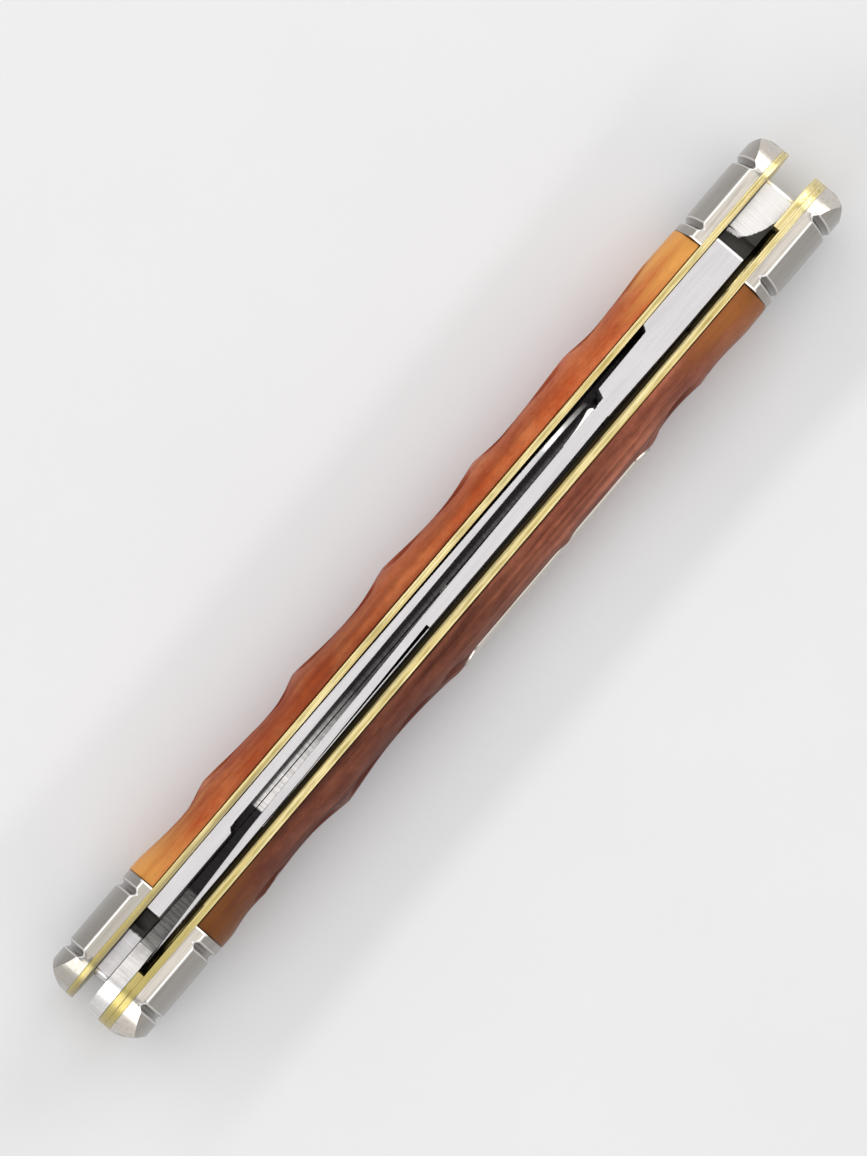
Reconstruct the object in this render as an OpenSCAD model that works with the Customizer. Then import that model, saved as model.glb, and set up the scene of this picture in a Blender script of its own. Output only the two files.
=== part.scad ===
// Slip-joint pocket knife with two blades hinged at opposite ends, closed.
// X runs along the handle, Y across it and Z up: the knife stands on its back, blade well up.
// The main blade turns at the +X end. The pile side is +Y and the mark side is -Y.

/* [Handle] */
// Length over the bolster ends
handle_l = 104.8; // [100:0.1:112]
// Width over the bolsters
handle_w = 11.4; // [10.6:0.1:12.4]
// Width over the bone at mid length, before it is jigged
cover_w = 12.2; // [11.6:0.1:13]
// Height at the bolsters, back to front
bolster_h = 13.6; // [13:0.1:15]
// How far the front edge dips between the bolsters
front_dip = 0.5; // [0:0.1:1]
// How far the handle's ends are rounded along the handle, seen from the side
end_round = 4.5; // [3.5:0.1:5.2]
// How far the bolster ends are rounded along the handle, seen from above
end_taper = 5.3; // [4:0.1:6.2]
// Radius of the bone's rounded front edge
bone_edge_r = 5.8; // [5.4:0.1:6.2]
// Width of the bone's front face beside the liner
bone_lip = 0.15; // [0.05:0.05:0.4]

/* [Bolsters] */
// Length of a bolster
bolster_l = 12.7; // [11:0.1:14]
// Width of the flat front face of a bolster
bolster_face = 1.15; // [0.9:0.05:1.5]
// Width of a turned groove at the surface
groove_w = 0.95; // [0.5:0.05:1.1]
// Depth of a turned groove
groove_depth = 0.35; // [0.2:0.05:0.6]
// From the cover joint to the inner groove's centre
inner_groove_in = 1.4; // [1.1:0.05:2]
// From the bolster's end to the outer groove's centre
outer_groove_in = 3.7; // [3:0.05:4.4]

/* [Liners] */
// Width of the blade well between the liners
well_w = 4.04; // [3.8:0.01:4.3]
// Thickness of an outer liner
liner_t = 0.68; // [0.4:0.02:0.9]
// Thickness of the spacer liner beside the mark liner
spacer_t = 0.72; // [0.5:0.01:0.8]
// Gap between pieces that lie side by side in the well
side_play = 0.04; // [0.02:0.01:0.06]
// Gap between the pile spring and the mark spring, and between the blades that lie over them
split_gap = 0.1; // [0.05:0.01:0.15]

/* [Springs] */
// Thickness of the springs where a tang rides on them
spring_end_t = 2.9; // [2.5:0.05:3.2]
// Thickness of the springs at mid length
spring_mid_t = 4.3; // [3.8:0.05:4.6]
// Width of the pile backspring
pile_spring_w = 1.52; // [1.3:0.01:1.6]
// Length of the thin part of a spring, from the pivot inward
spring_thin_l = 9; // [8:0.5:12]
// Length over which a spring thickens
spring_taper_l = 20; // [14:0.5:22]
// Gap between a closed blade's edge and the springs
edge_gap = 0.8; // [0.6:0.1:1.2]
// Gap between a tang and the spring under it
spring_gap = 0.02; // [0.01:0.01:0.05]

/* [Tangs] */
// From the handle's end to a pivot
pivot_in = 7; // [6.5:0.1:7.6]
// From the pivot to each of the tang's three flats
tang_h = 3.7; // [3.4:0.05:3.9]
// Radius of the tang's corners between the flats
tang_corner_r = 0.5; // [0.3:0.1:1.2]
// From the pivot to the shoulder that meets the spring's end when open
shoulder_l = 4.05; // [3.7:0.05:4.2]
// Radius of the round notch under the shoulder
notch_r = 1.1; // [0.8:0.05:1.4]
// How far that notch is sunk below the tang's flat
notch_sink = 0.4; // [0.2:0.05:0.6]
// From the pivot to the tip of the kick
kick_l = 5.6; // [5:0.1:6.5]
// Gap between the shoulder and the spring's end when a blade is open
shoulder_gap = 0.05; // [0.03:0.01:0.1]

/* [Main blade] */
// From the tip to the handle's far end
main_tip_gap = 7.4; // [6.8:0.1:9]
// Height of the spine's hump above the pivot
main_hump_h = 9; // [8:0.1:10]
// From the pivot to the hump, where the clip starts
main_hump_l = 49.8; // [44:0.1:54]
// Height of the tip above the pivot
main_tip_h = 3.3; // [2.9:0.1:4]
// Thickness of the spine next to the wide heel
main_spine_t = 1.5; // [1.2:0.05:1.6]
// Thickness of the spine at the hump
main_hump_t = 1.28; // [1:0.02:1.5]
// Thickness of the spine behind the tip
main_tip_t = 0.4; // [0.3:0.05:0.5]
// Gap between the tip's side and the mark liner
main_tip_side_gap = 0.32; // [0.3:0.02:0.6]
// Thickness of the spine where it starts to narrow to the tip
main_thin_t = 0.93; // [0.8:0.01:1.1]
// From the tip back to where the spine starts to narrow to it
main_thin_l = 15.4; // [12:0.2:20]
// How far the blade is bent toward the mark side between its heel and that place
main_crink = 0.56; // [0.3:0.02:0.7]
// Thickness left at the cutting edge
edge_t = 0.2; // [0.1:0.05:0.3]
// Radius of the belly that carries the edge up to the tip
main_belly_r = 60; // [50:1:75]
// Length of the milled step between the wide heel and the blade
main_step_l = 7.8; // [5:0.1:8.5]
// Run of the slope at each end of the milled step
main_step_run = 0.37; // [0.2:0.01:0.8]
// How much the milled step narrows along its length
main_step_taper = 0.11; // [0:0.01:0.3]
// Width of the milled step on the pile side of the split between the springs
main_step_w = 0.9; // [0.5:0.05:1.1]
// Depth of the swedge into the side of the clip where it starts. It runs out where the spine narrows to the tip
swedge_t = 0.42; // [0.3:0.02:0.5]
// Height of the swedge down from the clip
swedge_h = 1.5; // [1:0.1:2]

/* [Second blade] */
// From its pivot to its tip
second_l = 67.5; // [62:0.1:70]
// Height of its spine above the pivot
second_spine_h = 8; // [7.2:0.1:8.6]
// Thickness of its spine next to the step
second_spine_t = 1.1; // [0.7:0.05:1.3]
// Thickness of its spine at the tip
second_tip_t = 0.42; // [0.3:0.02:0.6]
// From its pivot to the step where the tang thins to the blade
second_step_l = 14.4; // [13:0.1:18]
// Gap between its pile side and the pile liner next to the step
second_side_gap = 0.04; // [0.04:0.01:0.3]
// Clearance from its tip to the main blade's heel
heel_clear = 0.6; // [0.5:0.1:2]

/* [Nail nicks] */
// Length of a nail nick
nick_l = 11.3; // [9:0.1:13]
// Depth of a nail nick
nick_depth = 0.35; // [0.2:0.05:0.5]
// From the pivot to the middle of the main blade's nick
main_nick_at = 24; // [20:0.5:40]
// From the pivot to the middle of the second blade's nick
second_nick_at = 40; // [30:0.5:48]
// From the spine down to the nick's upper edge
nick_down = 0.9; // [0.6:0.1:1.4]

/* [Pins] */
// Radius of the two pivot pins
pivot_r = 1.2; // [1:0.05:1.4]
// Radial clearance of a blade on its pivot pin
pivot_play = 0.03; // [0.02:0.01:0.06]
// Radius of the centre spring pin
centre_pin_r = 0.8; // [0.6:0.05:1]
// Radius of the cover pins
cover_pin_r = 0.65; // [0.5:0.05:0.8]
// From mid length to a cover pin
cover_pin_at = 31; // [29:0.5:35]
// Height of the cover pins above the back
cover_pin_z = 7; // [6:0.1:8]

/* [Shield] */
// Length of the bar shield
shield_l = 27; // [20:0.5:30]
// Height of the bar shield
shield_h = 5; // [4:0.1:6]
// Thickness of the bar shield
shield_t = 0.8; // [0.5:0.05:1.2]
// From mid length to the middle of the shield, toward the main pivot
shield_at = 9; // [6:0.5:12]
// Height of the shield's middle above the back
shield_z = 7; // [6:0.1:8]
// Radius of the two shield pins
shield_pin_r = 0.5; // [0.4:0.05:0.7]
// From the shield's end to a shield pin
shield_pin_in = 3.2; // [2.6:0.1:5]

/* [Jigging] */
// Length of one turn of the jigging along the handle
jig_pitch = 13.2; // [11:0.1:16]
// Radius of the wide scoops along the widest part of the bone
scoop_r = 22; // [18:1:28]
// Depth of the deepest scoop
scoop_depth = 1; // [0.7:0.05:1.2]
// How much shallower the scoops get from one end of the pile cover to the other
scoop_fade = 0.4; // [0:0.05:0.5]
// From mid length to the scoop nearest to it on the pile side
scoop_shift = 5.2; // [3:0.2:7]
// Radius of the cutter wheel that makes the small gouges
gouge_wheel_r = 9; // [7:0.5:12]
// Radius of that wheel's rounded rim
gouge_rim_r = 1.3; // [1:0.1:1.6]
// Depth of a small gouge
gouge_depth = 0.5; // [0.3:0.05:0.7]
// How far the rows of small gouges lie above and below the widest part of the bone
gouge_row = 4.3; // [4:0.1:5]
// How much the gouges slant, every other one the other way
gouge_slant = 9; // [0:1:15]
// Bone left plain next to a bolster
jig_margin = 1.9; // [1.5:0.1:5]

/* [Spacer ends] */
// How far the mark spring's block stays at the front past the main blade's tip, toward mid length
block_past_tip = 0.75; // [0.4:0.05:1]
// How far short of the main blade's tip the spacer liner falls from the front
spacer_short_of_tip = 1.5; // [1.3:0.1:3]
// From the main blade's tip inward to the foot of their hollow ramps
ramp_foot_in = 7.25; // [7:0.05:8.5]
// Height of the nose at the ramps' foot above the spring
ramp_nose_h = 0.4; // [0.2:0.05:0.8]
// Radius of the hollow ramps
ramp_r = 10; // [9:0.5:12]
// Radius of the corner at the ramp's foot, seen from above
ramp_corner_r = 1.1; // [0.6:0.1:1.4]
// Radius of the spacer liner's hollow at the main end
spacer_drop_r = 11.2; // [10:0.1:12]
// From the main pivot outward to where that hollow reaches the front edge
spacer_drop_out = 0.2; // [0:0.05:0.6]

/* [Hidden] */
$fn = 96;
over = 1;

half_l = handle_l / 2;
half_w = handle_w / 2;
cover_half = half_l - bolster_l;
well_half = well_w / 2;
liner_out = well_half + liner_t;
face_out = liner_out + bolster_face;
spacer_in = well_half - spacer_t;

pivot_x = half_l - pivot_in;
pivot_z = spring_end_t + tang_h + spring_gap;
spine_h = pivot_z;

// The springs and the tangs share the well between the pile liner and the spacer liner.
pile_face = well_half - side_play;
split_pile = pile_face - pile_spring_w;
split_mark = split_pile - split_gap;
mark_face = -spacer_in + side_play;

edge_h = spring_mid_t + edge_gap - pivot_z;

main_l = handle_l - pivot_in - main_tip_gap;
second_tip_x = second_l - pivot_x;
heel_l = pivot_x - second_tip_x - heel_clear;
wide_l = heel_l - main_step_l;

main_tip_x = half_l - main_tip_gap;
ramp_foot_x = main_tip_x - ramp_foot_in;
ramp_foot_z = spring_mid_t + ramp_nose_h;

centre_pin_z = spring_mid_t / 2;

steel = [0.74, 0.74, 0.77];
nickel = [0.80, 0.78, 0.72];
brass = [0.80, 0.62, 0.22];
bone = [0.66, 0.29, 0.10];

// Points on an oval with half axes rx and ry, or on a round arc, from angle a to angle b.
function oval(x, y, rx, ry, a, b, n = 12) =
    [for (i = [0:n]) let (t = a + (b - a) * i / n) [x + rx * cos(t), y + ry * sin(t)]];
function arc(x, y, r, a, b, n = 12) = oval(x, y, r, r, a, b, n);

// Radius of a circle that bulges by rise over a chord of the given length.
function bulge_r(chord, rise) = (chord * chord / 4 + rise * rise) / (2 * rise);

// Front edge of the handle: flat at the bolsters, dipping between them.
function front_z(x) = abs(x) >= cover_half ? bolster_h
    : bolster_h - front_dip * (1 - pow(x / cover_half, 2));

// Inner face of a spring: thin under the tang, thick in the middle.
function ease(t) = (1 - cos(180 * max(0, min(1, t)))) / 2;
function spring_top(x) =
    spring_end_t + (spring_mid_t - spring_end_t) * ease((pivot_x - spring_thin_l - abs(x)) / spring_taper_l);

// A plate that stands along the handle: its outline is in X and Z, and it spans y0 to y1.
module plate(y0, y1) {
    translate([0, y1, 0]) rotate([90, 0, 0]) linear_extrude(y1 - y0) children();
}

// The handle seen from the side.
module handle_outline() {
    in = half_l - end_round;
    mid = bolster_h / 2;
    steps = 24;
    polygon(concat(
        oval(in, mid, end_round, mid, -90, 90, 32),
        [for (i = [0:steps]) let (x = cover_half * (1 - 2 * i / steps)) [x, front_z(x)]],
        oval(-in, mid, end_round, mid, 90, 270, 32)));
}

// The handle seen from above: the bolster ends are rounded, the liners' ends are square.
module end_plan() {
    side = half_w + over - liner_out;
    in = half_l - end_taper;
    corner = oval(in, liner_out, end_taper, side, 0, 90, 16);
    linear_extrude(bolster_h + over) polygon(concat([[0, 0], [half_l, 0]], corner, [[0, liner_out + side]]));
}

// A round bar along the handle whose outside is the dome of the pile side.
module dome(reach, face, cut = 0) {
    r = bulge_r(bolster_h, reach - face);
    translate([-half_l - over, reach - r, bolster_h / 2])
        rotate([0, 90, 0]) cylinder(r = r - cut, h = handle_l + 2 * over, $fn = 160);
}

// A pin along Y through the whole handle.
module cross_pin(x, z, r) {
    translate([x, handle_w, z]) rotate([90, 0, 0]) cylinder(r = r, h = 2 * handle_w);
}

module pivot_holes(r = pivot_r) {
    for (side = [-1, 1]) cross_pin(side * pivot_x, pivot_z, r);
}

module cover_holes() {
    for (side = [-1, 1]) cross_pin(side * cover_pin_at, cover_pin_z, cover_pin_r);
    cross_pin(0, centre_pin_z, centre_pin_r);
}

// A ring that cuts a groove of even depth round the dome at x.
module groove_ring(x) {
    r = bulge_r(bolster_h, half_w - face_out);
    translate([x, half_w - r, bolster_h / 2]) rotate([0, 90, 0])
        rotate_extrude($fn = 160) polygon([
            [r - groove_depth, -groove_w / 6], [r - groove_depth, groove_w / 6],
            [r, groove_w / 2], [r + over, groove_w / 2 + over],
            [r + over, -groove_w / 2 - over], [r, -groove_w / 2]]);
}

// The pile-side bolster at the +X end.
module bolster_form() {
    difference() {
        intersection() {
            plate(liner_out, half_w + over) intersection() {
                handle_outline();
                translate([cover_half, -over]) square([bolster_l + over, bolster_h + 2 * over]);
            }
            dome(half_w, face_out);
            end_plan();
        }
        groove_ring(cover_half + inner_groove_in);
        groove_ring(half_l - outer_groove_in);
        pivot_holes();
    }
}

module bolster(side, end) {
    color(nickel) mirror([0, side < 0 ? 1 : 0, 0]) mirror([end < 0 ? 1 : 0, 0, 0]) bolster_form();
}

// An outer liner, full length.
module liner(side) {
    color(brass) mirror([0, side < 0 ? 1 : 0, 0]) difference() {
        plate(well_half, liner_out) handle_outline();
        pivot_holes();
        cover_holes();
    }
}

// The rounding of the bone's front edge, as a section across the handle.
module front_round() {
    lip_angle = 64;
    middle = bolster_h - front_dip / 2 - bone_edge_r * sin(lip_angle);
    intersection() {
        translate([liner_out + bone_lip - bone_edge_r * cos(lip_angle), middle]) circle(bone_edge_r);
        translate([0, middle]) square([handle_w, bolster_h]);
    }
    translate([0, -over]) square([handle_w, middle + over]);
}

// Barrel of the bone from above: level with the bolsters at the joints, fuller at mid length.
module cover_plan() {
    steps = 16;
    swell = cover_w / 2 - half_w;
    linear_extrude(bolster_h) polygon(concat(
        [[-cover_half, liner_out]],
        [for (i = [0:steps]) let (t = 2 * i / steps - 1) [cover_half * t, half_w + swell * (1 - t * t)]],
        [[cover_half, liner_out]]));
}

// Places a cutter on the bone's dome: its centre line at height z, its rim sunk by depth.
module at_dome(x, z, r, depth) {
    dome_r = bulge_r(bolster_h, cover_w / 2 - face_out);
    translate([x, cover_w / 2 - dome_r, bolster_h / 2])
        rotate([asin((z - bolster_h / 2) / dome_r), 0, 0]) translate([0, dome_r + r - depth, 0]) children();
}

// Cutters of the jigging: wide scoops along the middle and a row of small gouges on each side of it.
// No scoop reaches far over the kept stretch, and only the cutters within a distance of a place are made.
module jigging(first, fade, kept, place, within) {
    end = cover_half - jig_margin;
    for (i = [-3:3]) let (x = first + i * jig_pitch, reach = sqrt(2 * scoop_r * scoop_depth))
        if (abs(x) < end - reach / 2 && (x + reach / 2 < kept[0] || x - reach / 2 > kept[1])
            && abs(x - place) < within)
            at_dome(x, bolster_h / 2, scoop_r, scoop_depth - fade * (x + cover_half) / (2 * cover_half))
                sphere(scoop_r, $fn = 200);
    for (row = [-1, 1], i = [-6:6])
        let (x = first + (i + row / 4) * jig_pitch / 2, reach = sqrt(2 * gouge_wheel_r * gouge_depth))
            if (abs(x) < end - reach && abs(x - place) < within)
                at_dome(x, bolster_h / 2 + row * gouge_row, gouge_wheel_r, gouge_depth)
                    rotate([0, gouge_slant * (i % 2 == 0 ? 1 : -1), 0]) rotate_extrude($fn = 160)
                        translate([gouge_wheel_r - gouge_rim_r, 0]) circle(gouge_rim_r);
}

// The jigging of either side, drawn on the pile side. The mark side has no scoops where its shield lies.
module side_jigging(side, place = 0, within = half_l) {
    if (side > 0) jigging(scoop_shift, scoop_fade, [0, 0], place, within);
    else jigging(0, 0, [shield_at - shield_l / 2, shield_at + shield_l / 2], place, within);
}

// The pile-side bone cover, still plain.
module cover_form() {
    difference() {
        intersection() {
            plate(liner_out, cover_w) intersection() {
                handle_outline();
                translate([-cover_half, -over]) square([2 * cover_half, bolster_h + 2 * over]);
            }
            dome(cover_w / 2, face_out);
            cover_plan();
            translate([-half_l, 0, 0]) rotate([90, 0, 90]) linear_extrude(handle_l) front_round();
        }
        cover_holes();
    }
}

// The bar shield's outline, with round ends.
module shield_outline(grow = 0) {
    r = shield_h / 2 + grow;
    in = shield_l / 2 - shield_h / 2;
    translate([shield_at, shield_z]) polygon(concat(arc(in, 0, r, -90, 90, 16), arc(-in, 0, r, 90, 270, 16)));
}

// The space the shield fills, down to its thickness below the bone's dome.
module shield_pocket() {
    difference() {
        plate(liner_out, cover_w) shield_outline();
        dome(cover_w / 2, face_out, shield_t);
    }
}

module shield_pin_bars() {
    for (side = [-1, 1])
        translate([shield_at + side * (shield_l / 2 - shield_pin_in), 0, shield_z])
            rotate([-90, 0, 0]) cylinder(r = shield_pin_r, h = cover_w);
}

// Outline of a tang round its pivot, from the notch under the shoulder round the butt to the kick and the
// edge's start. u runs from the pivot to the tip, w up to the spine.
function tang_points() = let (in = tang_h - tang_corner_r, choil_r = 1.2, kick_r = 0.8) concat(
    arc(shoulder_l - notch_r, tang_h + notch_r - notch_sink, notch_r, 0, asin(1 - notch_sink / notch_r) - 180),
    arc(-in, in, tang_corner_r, 90, 180),
    arc(-in, -in, tang_corner_r, 180, 270),
    arc(kick_l - kick_r, -tang_h + kick_r, kick_r, 270, 360, 6),
    arc(kick_l + choil_r, edge_h - choil_r, choil_r, 180, 90, 6));

// The main blade from the side: straight spine, long clip, belly up to the tip.
module main_outline() {
    rise = main_tip_h - edge_h;
    belly_l = sqrt(2 * main_belly_r * rise - rise * rise);
    lift = asin(belly_l / main_belly_r);
    polygon(concat(
        [[shoulder_l, spine_h]],
        tang_points(),
        arc(main_l - belly_l, edge_h + main_belly_r, main_belly_r, 270, 270 + lift, 20),
        [[main_hump_l, main_hump_h]]));
}

// The second blade from the side: straight edge, spine curved down to a blunt tip.
module second_outline() {
    tip_r = second_spine_h - edge_h;
    polygon(concat(
        [[shoulder_l, spine_h]],
        tang_points(),
        arc(second_l - tip_r, edge_h, tip_r, 0, 90, 20),
        [[second_nick_at, second_spine_h]]));
}

// Places a blade outline's u and w at its pivot, closed: end is +1 for the main blade, -1 for the second.
module at_pivot(end) {
    translate([end * pivot_x, 0, pivot_z]) mirror([end > 0 ? 1 : 0, 0, 0]) children();
}

// Middle of the main blade's thickness, from the wide heel to where the spine narrows to the tip.
main_thin_from = main_l - main_thin_l;
main_heel_y = split_mark - main_spine_t / 2;
main_tip_y = main_tip_t / 2 + main_tip_side_gap - well_half;
function main_mid_y(u) = main_heel_y - main_crink * (u - heel_l) / (main_thin_from - heel_l);

// Pile side of the main blade where its spine narrows to the tip.
function main_pile_side(u) = let (from = main_mid_y(main_thin_from) + main_thin_t / 2)
    from + (main_tip_y + main_tip_t / 2 - from) * (u - main_thin_from) / (main_l + over - main_thin_from);

// The main blade from above: wide heel over both springs, a milled step, then the crinked blade.
module main_plan() {
    step_y = split_pile + main_step_w;
    step_end_y = step_y - main_step_taper;
    spine = [[heel_l, main_heel_y, main_spine_t], [main_hump_l, main_mid_y(main_hump_l), main_hump_t],
        [main_thin_from, main_mid_y(main_thin_from), main_thin_t], [main_l + over, main_tip_y, main_tip_t]];
    translate([0, 0, -pivot_z]) linear_extrude(3 * bolster_h) polygon(concat(
        [[wide_l, mark_face], [-tang_h - over, mark_face], [-tang_h - over, pile_face]],
        [[wide_l, pile_face], [wide_l + main_step_run, step_y], [heel_l - main_step_run, step_end_y]],
        [for (p = spine) [p[0], p[1] + p[2] / 2]],
        [for (i = [3:-1:0]) let (p = spine[i]) [p[0], p[1] - p[2] / 2]]));
}

// Two slabs whose inner faces are the flat grinds of a blade. mid is the blade's middle at the
// pivot, crink its angle seen from above, and the grind runs from one length to the other.
module grinds(spine, edge, spine_t, mid, crink, from, to) {
    slope = atan((spine_t - edge_t) / 2 / (spine - edge));
    for (side = [-1, 1])
        translate([0, mid, 0]) rotate([0, 0, crink]) translate([from, side * edge_t / 2, edge])
            rotate([-side * slope, 0, 0]) translate([0, side > 0 ? 0 : -over * 3, -over * 3])
                cube([to - from, over * 3, spine - edge + over * 6]);
}

// A nail nick sunk in the blade face at y on the given side, its straight lip toward the spine.
module nick(at, spine, y, side) {
    bowl_r = bulge_r(nick_l, nick_depth);
    translate([at, y + side * (bowl_r - nick_depth), spine - nick_down]) difference() {
        sphere(r = bowl_r, $fn = 200);
        translate([-bowl_r - over, -bowl_r - over, 0]) cube(2 * (bowl_r + over));
    }
}

module main_blade() {
    crink = -atan(main_crink / (main_thin_from - heel_l));
    hump_side = main_mid_y(main_hump_l) - main_hump_t / 2;
    thin_side = main_mid_y(main_thin_from) - main_thin_t / 2;
    swedge_turn = -atan((hump_side + swedge_t - thin_side) / (main_thin_from - main_hump_l));
    clip = atan((main_hump_h - main_tip_h) / (main_l - main_hump_l));
    clip_l = norm([main_l - main_hump_l, main_hump_h - main_tip_h]);
    nick_spine = spine_h + (main_hump_h - spine_h) * main_nick_at / main_hump_l;
    color(steel) at_pivot(1) difference() {
        intersection() {
            plate(mark_face, pile_face) main_outline();
            main_plan();
        }
        grinds(main_hump_h, edge_h, main_spine_t, main_mid_y(0), crink, heel_l + 1, main_l + 2 * over);
        translate([main_hump_l, hump_side, main_hump_h])
            rotate([0, clip, swedge_turn]) rotate([90, 0, 90]) linear_extrude(clip_l + over)
                polygon([[-over, over], [swedge_t, over], [swedge_t, 0], [0, -swedge_h], [-over, -swedge_h]]);
        nick(main_nick_at, nick_spine, main_mid_y(main_nick_at) - main_spine_t / 2, -1);
        cross_pin(0, 0, pivot_r + pivot_play);
    }
}

// Middle of the second blade's thickness, and its thickness past the step, which narrows to the tip.
second_mid_y = well_half - second_side_gap - second_spine_t / 2;
function second_t(u) =
    second_spine_t + (second_tip_t - second_spine_t) * (u - second_step_l) / (second_l - second_step_l);

// The second blade from above: full width at the tang, then the tapering blade.
module second_plan() {
    ends = [second_step_l, second_l + over];
    translate([0, 0, -pivot_z]) linear_extrude(3 * bolster_h) polygon(concat(
        [[second_step_l, split_pile], [-tang_h - over, split_pile], [-tang_h - over, pile_face],
            [second_step_l, pile_face]],
        [for (u = ends) [u, second_mid_y + second_t(u) / 2]],
        [for (u = [ends[1], ends[0] + main_step_run]) [u, second_mid_y - second_t(u) / 2]]));
}

module second_blade() {
    color(steel) at_pivot(-1) difference() {
        intersection() {
            plate(split_pile, pile_face) second_outline();
            second_plan();
        }
        grinds(second_spine_h, edge_h, second_spine_t, second_mid_y, 0, second_step_l + 1, second_l + over);
        nick(second_nick_at, second_spine_h, second_mid_y + second_t(second_nick_at) / 2, 1);
        cross_pin(0, 0, pivot_r + pivot_play);
    }
}

// A spring from the side, live at both ends: its back lies on the handle's back.
module live_spring_outline() {
    end_x = pivot_x + shoulder_l - shoulder_gap;
    nose_r = notch_r;
    steps = 60;
    in = end_x - nose_r;
    intersection() {
        handle_outline();
        polygon(concat(
            [[-end_x, -over], [end_x, -over]],
            arc(in, spring_end_t - nose_r, nose_r, 0, 90),
            [for (i = [0:steps]) let (x = pivot_x * (1 - 2 * i / steps)) [x, spring_top(x)]],
            arc(-in, spring_end_t - nose_r, nose_r, 90, 180)));
    }
}

// The space over the springs at the second end, its corner at the ramp's foot rounded from above.
module ramp_corner() {
    corner = [-ramp_foot_x - ramp_corner_r, split_mark - ramp_corner_r];
    linear_extrude(bolster_h + over) polygon(concat(
        [[-half_l - over, -half_w], [-half_l - over, split_mark + over], [corner[0], split_mark + over]],
        arc(corner[0], corner[1], ramp_corner_r, 90, 0), [[-ramp_foot_x, -half_w]]));
}

// An end that fills the handle to the front face as far as top_x, then falls on a hollow ramp to a foot.
module ramp_block_outline(top_x) {
    top = [-top_x, bolster_h];
    foot = [-ramp_foot_x, ramp_foot_z];
    chord = norm(foot - top);
    across = [top[1] - foot[1], foot[0] - top[0]] / chord;
    centre = (top + foot) / 2 + across * sqrt(ramp_r * ramp_r - chord * chord / 4);
    from = atan2(top[1] - centre[1], top[0] - centre[0]) + 360;
    to = atan2(foot[1] - centre[1], foot[0] - centre[0]) + 360;
    intersection() {
        handle_outline();
        polygon(concat(
            [[-half_l, bolster_h]],
            arc(centre[0], centre[1], ramp_r, from, to, 20),
            [[-ramp_foot_x, 0], [-half_l, 0]]));
    }
}

// Room beside the closed main blade's point, which lies along the mark spring's block.
module point_room() {
    ends = [main_thin_from, main_l + 3 * over];
    translate([0, 0, spring_mid_t]) linear_extrude(bolster_h) polygon(concat(
        [for (u = ends) [pivot_x - u, main_pile_side(u) + side_play]],
        [for (i = [1, 0]) [pivot_x - ends[i], -half_w]]));
}

module pile_backspring() {
    color(steel) difference() {
        plate(split_pile, pile_face) live_spring_outline();
        cross_pin(0, centre_pin_z, centre_pin_r);
    }
}

// The mark backspring is live at the main end, and its other end is a block held by the second pivot.
module mark_backspring() {
    color(steel) difference() {
        union() {
            plate(mark_face, split_mark) {
                intersection() {
                    live_spring_outline();
                    square([half_l, bolster_h]);
                }
                translate([-ramp_foot_x - 2 * over, 0]) square([ramp_foot_x + 2 * over, spring_mid_t]);
            }
            intersection() {
                plate(mark_face, split_mark) ramp_block_outline(main_tip_x - block_past_tip);
                ramp_corner();
            }
        }
        point_room();
        cross_pin(0, centre_pin_z, centre_pin_r);
        pivot_holes();
    }
}

// The spacer liner fills both ends to the front face and runs at spring height between them.
module spacer_liner() {
    drop_z = spring_mid_t + spacer_drop_r;
    reach = sqrt(spacer_drop_r * spacer_drop_r - pow(drop_z - bolster_h, 2));
    drop_x = pivot_x + spacer_drop_out - reach;
    color(brass) difference() {
        plate(-well_half, -spacer_in) union() {
            translate([-ramp_foot_x - over, 0]) square([ramp_foot_x + over + drop_x, spring_mid_t]);
            ramp_block_outline(main_tip_x + spacer_short_of_tip);
            difference() {
                intersection() {
                    handle_outline();
                    translate([drop_x - over, 0]) square([half_l, bolster_h]);
                }
                translate([drop_x, drop_z]) circle(spacer_drop_r);
            }
        }
        cross_pin(0, centre_pin_z, centre_pin_r);
        pivot_holes();
    }
}

module shield() {
    color(nickel) mirror([0, 1, 0]) difference() {
        intersection() {
            shield_pocket();
            dome(cover_w / 2, face_out);
        }
        shield_pin_bars();
    }
}

module shield_pins() {
    color(nickel) mirror([0, 1, 0]) intersection() {
        shield_pin_bars();
        dome(cover_w / 2, face_out);
        translate([-half_l, liner_out, 0]) cube([handle_l, handle_w, bolster_h]);
    }
}

module pile_cover() {
    color(bone) difference() {
        cover_form();
        side_jigging(1);
    }
}

module mark_cover() {
    color(bone) mirror([0, 1, 0]) difference() {
        cover_form();
        side_jigging(-1);
        shield_pocket();
        shield_pin_bars();
    }
}

// A pin cut flush with both bolsters.
module pivot_pin(end) {
    color(nickel) intersection() {
        cross_pin(end * pivot_x, pivot_z, pivot_r);
        dome(half_w, face_out);
        mirror([0, 1, 0]) dome(half_w, face_out);
    }
}

module centre_spring_pin() {
    color(nickel) difference() {
        intersection() {
            cross_pin(0, centre_pin_z, centre_pin_r);
            dome(cover_w / 2, face_out);
            mirror([0, 1, 0]) dome(cover_w / 2, face_out);
        }
        side_jigging(1, 0, jig_pitch / 2 + over);
        mirror([0, 1, 0]) side_jigging(-1, 0, jig_pitch / 2 + over);
    }
}

// The covers' plan, carried in through the liner to the well.
module cover_plan_to_well() {
    cover_plan();
    translate([-cover_half, well_half, 0]) cube([2 * cover_half, liner_t + side_play, bolster_h]);
}

module cover_pins(side) {
    color(nickel) mirror([0, side < 0 ? 1 : 0, 0]) difference() {
        intersection() {
            for (end = [-1, 1]) cross_pin(end * cover_pin_at, cover_pin_z, cover_pin_r);
            dome(cover_w / 2, face_out);
            cover_plan_to_well();
        }
        for (end = [-1, 1]) side_jigging(side, end * cover_pin_at, jig_pitch / 2 + over);
    }
}

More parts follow.
